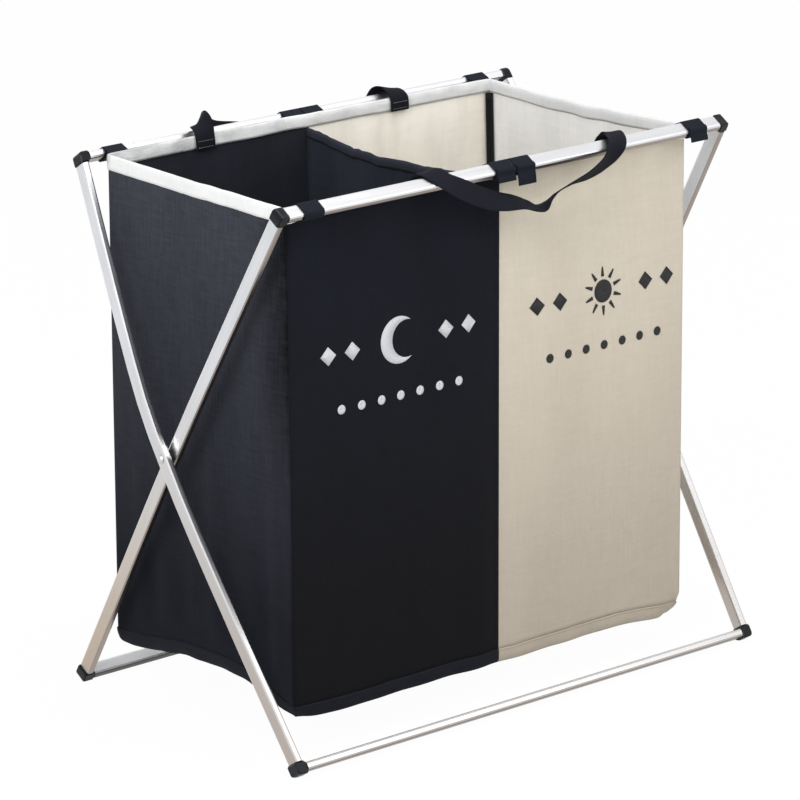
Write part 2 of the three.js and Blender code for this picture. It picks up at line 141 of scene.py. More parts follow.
# Places on the bag
def corner(name, height):
    """Plan place of an upright edge at a share of the bag's height."""
    rim, foot = LEANS[name]
    x = -BAG_HALF_WIDTH if name.endswith("left") else BAG_HALF_WIDTH
    y = -BAG_HALF_DEPTH if name.startswith("front") else BAG_HALF_DEPTH
    return np.array([x + mix(foot, rim, height), y])


def beside(name, step, height):
    """Plan place of the next upright edge, or with a step of -1 of the one before."""
    return corner(RING[(RING.index(name) + step) % len(RING)], height)


def plan_place(wall, along, height):
    """Plan place on a wall with rounded corners, along from 0 to 1 between its two seams."""
    first, last = WALLS[wall]
    a, b = corner(first, height), corner(last, height)
    length = np.linalg.norm(b - a)
    way = (b - a) / length
    round_share = CORNER_ROUND / length
    if along < round_share:
        come = unit(a - beside(first, -1, height))
        start, middle, end = a - CORNER_ROUND * come, a, a + CORNER_ROUND * way
        t = 0.5 + 0.5 * along / round_share
    elif along > 1 - round_share:
        go = unit(beside(last, 1, height) - b)
        start, middle, end = b - CORNER_ROUND * way, b, b + CORNER_ROUND * go
        t = 0.5 * (along - 1 + round_share) / round_share
    else:
        return mix(a + CORNER_ROUND * way, b - CORNER_ROUND * way,
                   (along - round_share) / (1 - 2 * round_share))
    return (1 - t) ** 2 * start + 2 * t * (1 - t) * middle + t * t * end


def seam_share(wall, height):
    """Where the divider's seam stands along the front or the back wall."""
    rim, foot = SEAMS[wall]
    a, b = (corner(name, height)[0] for name in WALLS[wall])
    return (mix(foot, rim, height) - a) / (b - a)


def soft_noise(x, y, z):
    return noise.noise(Vector((x, y, z)))


# Size of the folds and of the outward swell of each wall, and where its noise is taken
FOLDS = {"front": 0.0024, "right": 0.003, "back": 0.004, "left": 0.0024}
BULGE = {"front": 0.003, "right": 0.004, "back": 0.004, "left": 0.002}
SEEDS = {"front": 3.1, "right": 8.7, "back": 14.2, "left": 21.9}
# Shares of a wall that are held straight beside a seam, above the base and below the rim
HELD_ASIDE, HELD_BELOW, HELD_ABOVE = 0.09, 0.1, 0.16
DENT_SPREAD = 0.03  # share of a wall over which the dent at the divider's seam dies out
SLACK_HEIGHT = 0.3  # share of the height up to which the cloth also has small slack folds


def fold(wall, along, height):
    """How far the cloth stands out from its straight place."""
    edge = min(along, 1 - along)
    dent = 0.0
    if wall in SEAMS:
        seam = abs(along - seam_share(wall, height))
        dent = -SEAM_DENT * math.exp(-((seam / DENT_SPREAD) ** 2))
        edge = min(edge, seam)
    free = ease(edge / HELD_ASIDE) * ease(height / HELD_BELOW) * ease((1 - height) / HELD_ABOVE)
    seed = SEEDS[wall]
    upright = soft_noise(along * 11, height * 1.1, seed)
    broad = 0.9 * soft_noise(along * 4, height * 2.6, seed + 5)
    slack = 0.5 * ease(1 - height / SLACK_HEIGHT) * soft_noise(along * 9 + height * 6, height * 9, seed + 9)
    swell = BULGE[wall] * math.sin(math.pi * height)
    return dent + free * (FOLDS[wall] * (upright + broad + slack) + swell)


# How far the base seam is drawn up along each wall, at even steps from the wall's first edge
FOOT_RISES = {
    "front": (0.002, 0.0, 0.001, 0.0005, -0.0005, 0.001, 0.0, -0.007),
    "right": (-0.007, 0.006, 0.009, 0.006, 0.002),
    "back": (0.002, 0.001, 0.0, 0.003, 0.012),
    "left": (0.012, 0.015, 0.0215, 0.027, 0.028, 0.027, 0.017, 0.002),
}
FOOT_WAVE = 0.0012


def foot_place(wall, along):
    """Height of the base seam, which is drawn up at the sides."""
    wave = FOOT_WAVE * math.sin(math.pi * along) * soft_noise(along * 14, 0, 2.2)
    return BASE_BOTTOM + BASE_TURN + curve_at(FOOT_RISES[wall], along) + wave


# How far the rim stands up at each upright edge and dips between them, and its small waves
RIM_RISES = {"front_left": -0.001, "front_right": -0.001, "back_right": 0.002, "back_left": 0.0025}
RIM_DIPS = {"front": 0.0, "back": -0.001, "left": 0.0005, "right": 0.004}
RIM_WAVE = 0.0016
CLOTH_BELOW_RIM = 0.0015  # from the top of the rim tape down to the edge of the cloth in it


def rim_place(wall, along):
    """Height of the cloth's edge inside the rim tape."""
    first, last = (RIM_RISES[name] for name in WALLS[wall])
    free = math.sin(math.pi * along)
    wave = RIM_WAVE * soft_noise(along * 9, 1, SEEDS[wall])
    return RIM_TOP - CLOTH_BELOW_RIM + mix(first, last, along) + free * (wave - RIM_DIPS[wall])


# How far each corner of the foot is drawn in, on the walls and on the base below them
WALL_TUCKS = {"front_left": 0.002, "front_right": 0.004, "back_right": 0.003, "back_left": 0.0}
BASE_TUCKS = {"front_left": 0.009, "front_right": 0.01, "back_right": 0.008, "back_left": 0.002}
TUCK_REACH = 0.018
TUCK_HEIGHT = 0.024  # share of the bag's height over which a tucked corner comes in


def foot_tuck(wall, along, height):
    """How far a wall is drawn in by the tucked corners of its foot."""
    length = 2 * (BAG_HALF_WIDTH if wall in SEAMS else BAG_HALF_DEPTH)
    drawn = 0.0
    for name, away in zip(WALLS[wall], (along * length, (1 - along) * length)):
        drawn += WALL_TUCKS[name] * math.exp(-((away / TUCK_REACH) ** 2))
    return drawn * (1 - ease(height / TUCK_HEIGHT))


NEAR = 0.002  # share of a wall over which its direction is taken


def wall_place(wall, along, height, outward=0.0):
    """Point on a wall of the bag, moved outward by a distance."""
    if along in (0.0, 1.0):
        first, last = (corner(name, height) for name in WALLS[wall])
        if along == 0.0:
            other = first - beside(WALLS[wall][0], -1, height)
        else:
            other = beside(WALLS[wall][1], 1, height) - last
        way = unit(unit(last - first) + unit(other))
    else:
        ahead = plan_place(wall, min(1.0, along + NEAR), height)
        behind = plan_place(wall, max(0.0, along - NEAR), height)
        way = unit(ahead - behind)
    normal = np.array([way[1], -way[0]])
    out = fold(wall, along, height) + outward - foot_tuck(wall, along, height)
    plan = plan_place(wall, along, height) + normal * out
    z = mix(foot_place(wall, along), rim_place(wall, along), height)
    return np.array([plan[0], plan[1], z])


def front_place(x, z, outward):
    """Point on the front wall at a given x and z."""
    height = (z - BASE_BOTTOM - BASE_TURN) / (RIM_TOP - BASE_BOTTOM - BASE_TURN)
    left, right = (corner(name, height)[0] for name in WALLS["front"])
    y = wall_place("front", (x - left) / (right - left), height, outward)[1]
    return np.array([x, y, z])


# Meshes
def linked(name, data):
    made = bpy.data.objects.new(name, data)
    bpy.context.scene.collection.objects.link(made)
    return made


def shaped(name, places, faces):
    """An object with a smooth mesh."""
    mesh = bpy.data.meshes.new(name)
    mesh.from_pydata([tuple(place) for place in places], [], faces)
    mesh.shade_smooth()
    return linked(name, mesh)


def thicken(made, thickness):
    shell = made.modifiers.new("thickness", "SOLIDIFY")
    shell.thickness = thickness
    shell.offset = 0
    return made


def quads_of(rows, columns):
    """Row and column of the four corners of each quad in a grid."""
    return [[(r, c), (r, c + 1), (r + 1, c + 1), (r + 1, c)] for r in range(rows) for c in range(columns)]


def surface(name, points, size, thickness, closed=False):
    """Cloth of some thickness over a grid of points, with its coordinates on the sheet in metres."""
    rows, columns = points.shape[:2]
    steps = columns if closed else columns - 1
    quads = quads_of(rows - 1, steps)
    faces = [[r * columns + c % columns for r, c in quad] for quad in quads]
    corners = [(c / steps * size[0], r / (rows - 1) * size[1]) for quad in quads for r, c in quad]
    made = shaped(name, points.reshape(-1, 3), faces)
    layer = made.data.uv_layers.new(name="UVMap")
    layer.data.foreach_set("uv", np.array(corners, np.float32).ravel())
    return thicken(made, thickness)


def round_edges(made, width, degrees):
    """Rounds the edges that are sharper than an angle."""
    bevel = made.modifiers.new("edges", "BEVEL")
    bevel.width = width
    bevel.segments = 2
    bevel.limit_method = "ANGLE"
    bevel.angle_limit = math.radians(degrees)


def run_of(points):
    """Distance of each point from the first, along the line of points."""
    return np.concatenate([[0.0], np.cumsum(np.linalg.norm(np.diff(points, axis=0), axis=1))])


def run_length(points):
    return float(run_of(points)[-1])


ASKEW = (0.31, 0.17, 0.94)  # a direction that no seam runs along


def stitches(name, lines, pitch=0.0034, filled=0.7, thick=0.0007):
    """Stitches of thread along lines of points, all in one mesh."""
    places, faces = [], []
    for line in lines:
        line = np.array(line, float)
        run = run_of(line)
        count = max(1, int(run[-1] / pitch))
        for k in range(count):
            ends = [np.array([np.interp((k + share) * run[-1] / count, run, axis) for axis in line.T])
                    for share in (0.0, filled)]
            way, middle = ends[1] - ends[0], (ends[0] + ends[1]) / 2
            across = unit(np.cross(way, ASKEW)) * thick / 2
            lift = unit(np.cross(way, across)) * thick / 2
            base = len(places)
            places += [ends[0], ends[1], middle + across, middle + lift, middle - across, middle - lift]
            for side in range(4):
                a, b = base + 2 + side, base + 2 + (side + 1) % 4
                faces += [(base, a, b), (base + 1, b, a)]
    return shaped(name, places, faces)


# Materials
def node(tree, kind, inputs=None, **properties):
    made = tree.nodes.new("ShaderNode" + kind)
    for key, value in properties.items():
        setattr(made, key, value)
    for key, value in (inputs or {}).items():
        if isinstance(value, bpy.types.NodeSocket):
            tree.links.new(value, made.inputs[key])
        else:
            made.inputs[key].default_value = value
    return made


def calculate(operation, first, second=0.0):
    return node(first.id_data, "Math", {0: first, 1: second}, operation=operation).outputs[0]


def plus(first, second):
    return calculate("ADD", first, second)


def times(first, second):
    return calculate("MULTIPLY", first, second)


def mix_colours(tree, share, first, second, mode="MIX"):
    made = node(tree, "Mix", {"Factor": share}, data_type="RGBA", blend_type=mode)
    for socket, value in ((made.inputs[6], first), (made.inputs[7], second)):
        if isinstance(value, bpy.types.NodeSocket):
            tree.links.new(value, socket)
        else:
            socket.default_value = (*value, 1)
    return made.outputs[2]


def blend_colours(share, first, second):
    return mix_colours(share.id_data, share, first, second)


def toned(colour, tone):
    """Colour times a grey tone."""
    grey = node(tone.id_data, "CombineColor", {0: tone, 1: tone, 2: tone}).outputs[0]
    return mix_colours(tone.id_data, 1.0, colour, grey, "MULTIPLY")


def ramp(value, low, high, to_low=0.0, to_high=1.0):
    return node(value.id_data, "MapRange", {"Value": value, "From Min": low, "From Max": high,
                                            "To Min": to_low, "To Max": to_high}).outputs[0]


def noise_of(place, scale, detail=3.0, stretch=(1.0, 1.0, 1.0)):
    tree = place.id_data
    stretched = node(tree, "Mapping", {"Vector": place, "Scale": stretch}).outputs[0]
    return node(tree, "TexNoise", {"Vector": stretched, "Scale": scale, "Detail": detail}).outputs[0]


def empty_tree(owner):
    """Node tree of a material or a world, without its nodes."""
    owner.use_nodes = True
    owner.node_tree.nodes.clear()
    return owner.node_tree


def blank(name, roughness, metallic=0.0, specular=0.5):
    """A material with one shader, its node tree and the shader."""
    made = bpy.data.materials.new(name)
    tree = empty_tree(made)
    shader = node(tree, "BsdfPrincipled", {"Roughness": roughness, "Metallic": metallic,
                                           "Specular IOR Level": specular})
    node(tree, "OutputMaterial", {"Surface": shader.outputs[0]})
    return made, tree, shader


def place_in(tree):
    """Place on the object, in metres."""
    return node(tree, "TexCoord").outputs["Object"]


def along_axis(vector, axis):
    return node(vector.id_data, "SeparateXYZ", {0: vector}).outputs[axis]


def drive(shader, sockets):
    """Links values to a shader's inputs by name."""
    for name, value in sockets.items():
        shader.id_data.links.new(value, shader.inputs[name])


def add_bump(shader, height, strength, distance):
    """Puts a bump on the shader, over any that it has."""
    tree = shader.id_data
    bump = node(tree, "Bump", {"Height": height, "Strength": strength, "Distance": distance})
    normal = shader.inputs["Normal"]
    if normal.is_linked:
        tree.links.new(normal.links[0].from_socket, bump.inputs["Normal"])
    tree.links.new(bump.outputs[0], normal)


CLOTH_FOOT_SHADE = (0.14, 0.57)  # heights over which cloth turns from the painted shade at its foot to its own colour
THREAD = 0.0009  # from one thread of the cloth to the next


def sheet_in(tree):
    """Place on the flat cloth, in metres."""
    return node(tree, "UVMap").outputs[0]


def weave_of(sheet):
    """Small checks of crossing threads, from -1 to 1."""
    threads = [calculate("SINE", times(along_axis(sheet, axis), math.pi / THREAD)) for axis in (0, 1)]
    return times(*threads)


def slub_of(place):
    """Uneven threads, upright and level."""
    upright = noise_of(place, 300.0, 2.0, (1.0, 1.0, 0.12))
    level = noise_of(place, 300.0, 2.0, (0.12, 0.12, 1.0))
    return plus(upright, level)


def rail_shadow_tone(place, depth):
    """Painted shadow of the top rail and leg: darker towards the front edge of a side, above its foot."""
    front = ramp(along_axis(place, 1), -0.155, -0.1, -depth, 0.0)
    return times(front, ramp(along_axis(place, 2), 0.26, 0.42))


def crease_shade_tone(place, depth):
    """Painted shade in the creases at the back of the rim, deepest on its left."""
    creases = ramp(noise_of(place, 70.0, 4.0, (0.5, 1.0, 1.2)), 0.38, 0.62, -depth, 0.0)
    back = ramp(along_axis(place, 1), 0.145, 0.152)
    left = ramp(along_axis(place, 0), -0.26, 0.02, 1.0, 0.35)
    return times(creases, times(back, left))


def cloth_material(name, colour, shade, foot_shade_colour, sheen=0.1, crumple=0.0, mottle=0.06, fold_shade=0.0,
                   crease_shade=0.0, shaded=0.0):
    """Woven cloth: colour with random patches of a darker tone, darkened towards the foot by painted shade,
    and where asked with painted fold shade, a painted rail shadow and painted shade in creases.
    """
    made, tree, shader = blank(name, 0.9, specular=0.08)
    shader.inputs["Sheen Weight"].default_value = sheen
    shader.inputs["Sheen Roughness"].default_value = 0.5
    place = place_in(tree)
    weave, slub = weave_of(sheet_in(tree)), slub_of(place)
    patches = noise_of(place, 14.0, 5.0, (1.0, 1.0, 0.4))
    # Painted shade: the cloth turns darker towards its foot
    high = ramp(along_axis(place, 2), *CLOTH_FOOT_SHADE)
    body = blend_colours(ramp(patches, 0.35, 0.7), blend_colours(high, foot_shade_colour, colour),
                         blend_colours(high, foot_shade_colour, shade))
    tones = [ramp(weave, -1, 1, 0.94, 1.04), ramp(slub, 0.7, 1.3, -mottle, mottle)]
    # Painted shade of soft upright folds, in lighter and darker upright bands
    if fold_shade:
        broad = noise_of(place, 22.0, 2.0, (1.0, 1.0, 0.12))
        tones.append(ramp(broad, 0.35, 0.65, -fold_shade, fold_shade))
    # Painted shadow of the top rail on a side wall
    if shaded:
        tones.append(rail_shadow_tone(place, shaded))
    # Painted shade in the creases of the rim tape
    if crease_shade:
        tones.append(crease_shade_tone(place, crease_shade))
    tone = tones[0]
    for more in tones[1:]:
        tone = plus(tone, more)
    drive(shader, {"Base Color": toned(body, tone)})
    add_bump(shader, plus(weave, times(slub, 1.2)), 0.35, 0.0003)
    if crumple:
        add_bump(shader, noise_of(place, 60.0), crumple, 0.002)
    return made


def webbing_material(name, colour, shade, rib=0.0012):
    """Woven webbing with slanting ribs."""
    made, tree, shader = blank(name, 0.75, specular=0.12)
    sheet = sheet_in(tree)
    slant = plus(along_axis(sheet, 0), along_axis(sheet, 1))
    ribs = calculate("SINE", times(slant, 2 * math.pi / rib))
    fuzz = noise_of(place_in(tree), 900.0)
    mixed = plus(ramp(ribs, -1, 1, 0.0, 0.6), times(fuzz, 0.6))
    drive(shader, {"Base Color": blend_colours(mixed, shade, colour)})
    add_bump(shader, mixed, 0.5, 0.0004)
    return made


METAL_FOOT_REFLECTION = (0.06, 0.4)  # heights over which the tube turns from the painted floor reflection at its foot to its own colour
# Tube colour on its sides, and on its upper faces, where a painted highlight makes it lighter
METAL_SIDE = (0.72, 0.73, 0.76)
METAL_LIT_TOP = (0.76, 0.76, 0.78)


def metal_material(name, turn, stretch, underside_reflection=(0.34, 0.29, 0.26), under=(-0.25, -0.5),
                   metallic=1.0, foot=(0.48, 0.43, 0.39), top_foot_reflection=(0.58, 0.57, 0.56)):
    """Drawn aluminium tube: faint lines along it, partly real drawing lines and partly painted reflection
    streaks; painted reflection makes it warmer where it faces down and at the foot, and a painted highlight
    lightens its upper faces.
    """
    made, tree, shader = blank(name, 0.3, metallic=metallic)
    place = place_in(tree)
    turned = node(tree, "VectorRotate", {"Vector": place, "Angle": turn}, rotation_type="X_AXIS").outputs[0]
    lines = noise_of(turned, 1.0, 2.0, stretch)
    clouds = noise_of(place, 22.0, 2.0)
    facing = along_axis(node(tree, "TexCoord").outputs["Normal"], 2)
    low = ramp(along_axis(place, 2), *METAL_FOOT_REFLECTION)
    side = blend_colours(low, foot, METAL_SIDE)
    top = blend_colours(low, top_foot_reflection, METAL_LIT_TOP)
    # Painted light: upper faces lighter, and faces turned down take the painted reflection from below
    upper = blend_colours(ramp(facing, 0.15, 0.5), side, top)
    body = blend_colours(ramp(facing, *under), upper, underside_reflection)
    # Painted reflection streaks along the tube, partly its real drawing lines, and faint random clouds
    tone = plus(ramp(lines, 0.3, 0.7, 0.95, 1.02), ramp(clouds, 0.3, 0.7, -0.02, 0.02))
    drive(shader, {"Base Color": toned(body, tone), "Roughness": ramp(lines, 0.3, 0.7, 0.31, 0.35)})
    add_bump(shader, lines, 0.05, 0.0002)
    return made


def plastic_material(name, colour, roughness):
    """Moulded plastic with a fine spark-eroded grain and scuffs."""
    made, tree, shader = blank(name, roughness, specular=0.16)
    place = place_in(tree)
    scuffs = noise_of(place, 90.0, 6.0)
    worn = tuple(min(1.0, c * 2.0 + 0.01) for c in colour)
    rough = ramp(scuffs, 0.3, 0.8, roughness - 0.08, roughness + 0.15)
    drive(shader, {"Base Color": blend_colours(ramp(scuffs, 0.5, 0.8), colour, worn), "Roughness": rough})
    add_bump(shader, noise_of(place, 1400.0, 2.0), 0.25, 0.0002)
    return made


def steel_material(name):
    made, tree, shader = blank(name, 0.3, metallic=1.0)
    cloudy = noise_of(place_in(tree), 500.0)
    drive(shader, {"Base Color": blend_colours(cloudy, (0.48, 0.48, 0.49), (0.74, 0.74, 0.75)),
                   "Roughness": ramp(cloudy, 0.3, 0.7, 0.25, 0.45)})
    return made


def thread_material(name, colour):
    made, tree, shader = blank(name, 0.7, specular=0.2)
    twist = noise_of(place_in(tree), 2500.0, 1.0)
    drive(shader, {"Base Color": toned(colour, ramp(twist, 0.3, 0.7, 0.8, 1.1))})
    return made


def print_material(name, colour):
    """Printed ink that lets a little of the weave show."""
    made, tree, shader = blank(name, 0.55, specular=0.3)
    worn = noise_of(place_in(tree), 700.0)
    drive(shader, {"Base Color": toned(colour, ramp(worn, 0.3, 0.7, 0.9, 1.05))})
    add_bump(shader, worn, 0.3, 0.0002)
    return made


# Cloths: colour, the darker tone of its random patches, and the colour at the foot, which is painted shade
# Painted light: a lighter copy of the dark cloth for the left side, which faces the key light
LIT_SIDE_DARK = cloth_material("lit_side_dark_cloth", (0.042, 0.046, 0.059), (0.037, 0.04, 0.052),
                           (0.0062, 0.0072, 0.012), sheen=0.03, mottle=0.16, shaded=0.85)
FRONT_DARK = cloth_material("front_dark_cloth", (0.009, 0.0105, 0.0165), (0.0075, 0.0085, 0.013),
                            (0.0055, 0.0055, 0.007), sheen=0.02)
DIVIDER_DARK = cloth_material("divider_cloth", (0.03, 0.034, 0.047), (0.024, 0.027, 0.038),
                              (0.018, 0.0195, 0.027), sheen=0.02, fold_shade=0.08)
TRAY_DARK = cloth_material("dark_tray_cloth", (0.011, 0.0125, 0.018), (0.009, 0.01, 0.0145),
                           (0.0095, 0.0105, 0.0155), sheen=0.03, mottle=0.16)
INNER_DARK = cloth_material("inner_dark_cloth", (0.02, 0.0225, 0.031), (0.016, 0.018, 0.025),
                            (0.012, 0.013, 0.018), sheen=0.02, fold_shade=0.08)
LIGHT = cloth_material("light_cloth", (0.66, 0.605, 0.5), (0.64, 0.58, 0.475),
                       (0.425, 0.375, 0.31), mottle=0.03, fold_shade=0.02)
# Painted light: a brighter copy of the light cloth for the back wall, lit from above inside the bag
LIT_LIGHT = cloth_material("light_cloth_in_light", (0.99, 0.95, 0.86), (0.965, 0.905, 0.795),
                           (0.7, 0.64, 0.54), mottle=0.03, fold_shade=0.07)
# Painted light: a brighter, whiter copy of the light cloth for the right wall, lit from above inside the
# bag
LIT_SIDE_LIGHT = cloth_material("lit_light_side_cloth", (0.98, 0.975, 0.955), (0.97, 0.955, 0.925),
                            (0.72, 0.69, 0.63), mottle=0.03, fold_shade=0.05)
TAPE = cloth_material("rim_tape_cloth", (0.82, 0.83, 0.82), (0.74, 0.75, 0.75), (0.8, 0.81, 0.81),
                      crumple=0.3, mottle=0.03, crease_shade=0.4)
BINDING = cloth_material("binding_cloth", (0.018, 0.017, 0.018), (0.012, 0.012, 0.013),
                         (0.018, 0.017, 0.018))
WEBBING = webbing_material("black_webbing", (0.008, 0.0092, 0.015), (0.0026, 0.0032, 0.006))
HOOK_TAPE = webbing_material("black_hook_tape", (0.0115, 0.0138, 0.0225), (0.004, 0.005, 0.009),
                             rib=0.0006)
CAP = plastic_material("black_corner_plastic", (0.004, 0.006, 0.0078), 0.3)
SPACER = plastic_material("black_spacer_plastic", (0.01, 0.011, 0.013), 0.5)
STEEL = steel_material("rivet_steel_finish")
GREY_THREAD = thread_material("grey_thread", (0.3, 0.3, 0.32))
DARK_THREAD = thread_material("dark_thread", (0.018, 0.019, 0.024))
HEM_THREAD = thread_material("hem_thread", (0.07, 0.08, 0.09))
WHITE_THREAD = thread_material("white_thread", (0.78, 0.78, 0.77))
TAN_THREAD = thread_material("tan_thread", (0.36, 0.28, 0.19))
SILVER_PRINT = print_material("silver_print", (0.55, 0.56, 0.58))
BLACK_PRINT = print_material("black_print", (0.013, 0.013, 0.014))

# Frame. How often the drawn tube's lines, which are partly painted reflection streaks, vary in x, y and z,
# for a rail and for a leg
ALONG_X = (12.0, 240.0, 240.0)
ALONG_LEG = (240.0, 240.0, 9.0)
EDGE_ROUND = 0.0006
# Slots of the frame's pieces, by the last word of their names
SLOTS = {"rail": "aluminium_tube", "leg": "aluminium_tube", "corner": "corner_plastic",
         "rivet": "rivet_steel", "spacer": "spacer_plastic"}


def finish_frame():
    finishes = {
        "corner": CAP,
        "rivet": STEEL,
        "spacer": SPACER,
        "rail": metal_material("rail_aluminium", 0.0, ALONG_X),
        # Painted white highlight on the lower back rail's top, and painted shade on its faces turned down
        "inner_bottom_rail": metal_material("shaded_rail_aluminium", 0.0, ALONG_X, metallic=0.4,
                                            underside_reflection=(0.085, 0.085, 0.07), under=(0.2, 0.0),
                                            top_foot_reflection=(0.92, 0.93, 0.96)),
        # Painted dark reflection on the outer bottom rail where it faces down
        "outer_bottom_rail": metal_material("low_rail_aluminium", 0.0, ALONG_X,
                                            underside_reflection=(0.17, 0.15, 0.13)),
        # Painted warm floor reflection at the foot of the inner legs
        "inner_leg": metal_material("inner_leg_aluminium", -TILT, ALONG_LEG, foot=(0.52, 0.44, 0.36)),
        "outer_leg": metal_material("outer_leg_aluminium", TILT, ALONG_LEG),
    }
    for name, part in nodes.items():
        words = name.split("_")
        kind = words[-1]
        if kind not in SLOTS:
            continue
        if kind == "leg":
            finish = finishes[words[0] + "_leg"]
        else:
            finish = finishes.get(name, finishes[kind])
        part.data.materials.clear()
        part.data.materials.append(finish)
        round_edges(part, EDGE_ROUND, 25)


# Bag
def settle(made, finish, slot, *replaced, ahead=0.0):
    """Gives a bag piece its finish, hangs it on the inner frame and hides the solids that it replaces."""
    made.data.materials.append(finish)
    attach(made, "inner_frame")
    if replaced:
        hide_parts(*replaced)
    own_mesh(made)
    return made


def sew(name, lines, finish, **pitch):
    return settle(stitches(name, lines, **pitch), finish, None)


BACK_OVERLAP = 0.005  # share of the back by which the dark cloth passes the divider
GATHERED = 0.55  # how much closer together the columns of a wall's grid lie near its seams


def edge_share(wall, edge, height):
    """Where a panel's edge stands along its wall: at 0, at 1 or at the divider's seam."""
    if edge != "seam":
        return edge
    return seam_share(wall, height) - (BACK_OVERLAP if wall == "back" else 0.0)


def wall_grid(wall, start, end, columns=48, rows=90):
    """Points of the part of a wall between two edges."""
    points = np.zeros((rows + 1, columns + 1, 3))
    for r, height in enumerate(np.linspace(0, 1, rows + 1)):
        low, high = (edge_share(wall, edge, height) for edge in (start, end))
        for c, t in enumerate(np.linspace(0, 1, columns + 1)):
            points[r, c] = wall_place(wall, mix(low, high, mix(t, ease(t), GATHERED)), height)
    return points


def middle_size(points):
    """Width and height of a grid of cloth along its middle row and column, in metres."""
    rows, columns = points.shape[:2]
    return run_length(points[rows // 2]), run_length(points[:, columns // 2])


# Each panel's wall and edges, its finish and slot, and the solid that it replaces
PANELS = {
    "front_dark_panel": ("front", 0.0, "seam", FRONT_DARK, "dark_cloth", "bag_front_dark"),
    "front_light_panel": ("front", "seam", 1.0, LIGHT, "light_cloth", "bag_front_light"),
    "right_side_panel": ("right", 0.0, 1.0, LIT_SIDE_LIGHT, "light_cloth", "bag_right_side"),
    "back_light_panel": ("back", 0.0, "seam", LIT_LIGHT, "light_cloth", "bag_back_light"),
    "back_dark_panel": ("back", "seam", 1.0, INNER_DARK, "dark_cloth", "bag_back_dark"),
    "left_side_panel": ("left", 0.0, 1.0, LIT_SIDE_DARK, "dark_cloth", "bag_left_side"),
}


def add_panels():
    for name, (wall, start, end, finish, slot, replaced) in PANELS.items():
        points = wall_grid(wall, start, end)
        width, height = middle_size(points)
        panel = surface(name, points, (width, height), CLOTH)
        settle(panel, finish, slot, replaced)


DIVIDER_BOTTOM = BASE_BOTTOM + 0.012
DIVIDER_INSET = 0.0015  # how far inside the walls its two seams lie
DIVIDER_SWAY = 0.01
EDGE_SWAY = 0.004
DIVIDER_HEM_SECTION = [(0.0016, -DIVIDER_HEM), (0.0018, -0.005), (0.0016, -0.001), (0.0, 0.0012),
                       (-0.0016, -0.001), (-0.0018, -0.005), (-0.0016, -DIVIDER_HEM)]
HEM_RAGGED = 0.0012
HEM_STITCHES = (0.0027, 0.003 - DIVIDER_HEM)  # aside and up from the divider's top edge


def add_divider():
    """The cloth between the bins, with a ragged hem stitched along its top."""
    rows, columns = 80, 48
    front_top, middle_top, back_top = DIVIDER_TOP
    between_tops = mix(front_top, middle_top, 0.3)
    tops = (front_top, between_tops, middle_top, between_tops, back_top)
    points = np.zeros((rows + 1, columns + 1, 3))
    for r, height in enumerate(np.linspace(0, 1, rows + 1)):
        front, back = (wall_place(wall, seam_share(wall, height), height, -DIVIDER_INSET) for wall in SEAMS)
        for c, along in enumerate(np.linspace(0, 1, columns + 1)):
            place = mix(front, back, along)
            sway = DIVIDER_SWAY * ease(height / 0.1) * soft_noise(along * 5, height * 2, 31.0)
            sway += EDGE_SWAY * ease((height - 0.8) / 0.2) * soft_noise(along * 14, height * 3, 37.0)
            place[0] += math.sin(math.pi * along) * sway
            place[2] = mix(DIVIDER_BOTTOM, curve_at(tops, along), height)
            points[r, c] = place
    width, height = middle_size(points)
    hem = np.zeros((len(DIVIDER_HEM_SECTION), columns + 1, 3))
    for r, (aside, up) in enumerate(DIVIDER_HEM_SECTION):
        for c in range(columns + 1):
            ragged = HEM_RAGGED * soft_noise(c * 0.9, aside * 300, 44.0)
            hem[r, c] = points[-1, c] + np.array([aside + ragged * 0.5, 0, up + ragged])
    strip = surface("divider_hem", hem, (width, 2 * DIVIDER_HEM), CLOTH)
    settle(strip, DIVIDER_DARK, "dark_cloth")
    panel = surface("divider_panel", points, (width, height), CLOTH)
    settle(panel, DIVIDER_DARK, "dark_cloth", "bag_divider")
    aside, up = HEM_STITCHES
    lines = [points[-1] + np.array([side * aside, 0, up]) for side in (-1, 1)]
    sew("divider_hem_stitches", lines, HEM_THREAD)


# Rows of a base tray from its seam down: how far inward, and how far below the seam as a share of
# the turned-up margin
TRAY_ROWS = [(-0.001, -0.1), (-0.0012, 0.05), (-0.0011, 0.4), (-0.0006, 0.75), (0.0012, 0.93),
             (0.005, 1.0), (0.018, 1.02)]
BOTTOM_ROWS = (0.2, 0.4, 0.6, 0.8, 0.97)  # shares of the way from the margin to the middle
BASE_STEPS = 48  # points along each side of a base
BASE_GAP = 0.0022  # how far a base stands from the divider's seam, and how far it is drawn down there
BASE_DRAWN = 0.003
MARGIN_WAVE = 0.0006
TUCK_LIFT = 9  # share by which a margin drops less, for each metre that its corner is drawn in
BASE_STITCH_OUT = 0.0019


def base_ring(side):
    """Outline of a base: along its three walls, then back along the divider."""
    front_seam, back_seam = seam_share("front", 0), seam_share("back", 0)
    edge = 0.0 if side == "left" else 1.0
    walls = [("front", front_seam, edge), (side, 1.0 - edge, edge), ("back", 1.0 - edge, back_seam)]
    ring = [wall_place(wall, mix(start, end, c / BASE_STEPS), 0.0)
            for wall, start, end in walls for c in range(BASE_STEPS)]
    last, first = wall_place("back", back_seam, 0.0), ring[0]
    gap = np.array([BASE_GAP * (2 * edge - 1), 0, 0])
    for c in range(BASE_STEPS):
        away = min(c, BASE_STEPS - c)
        place = mix(last, first, c / BASE_STEPS) + gap * ease(away / 4)
        place[2] -= BASE_DRAWN * ease(away / 5)
        ring.append(place)
    return np.array(ring)


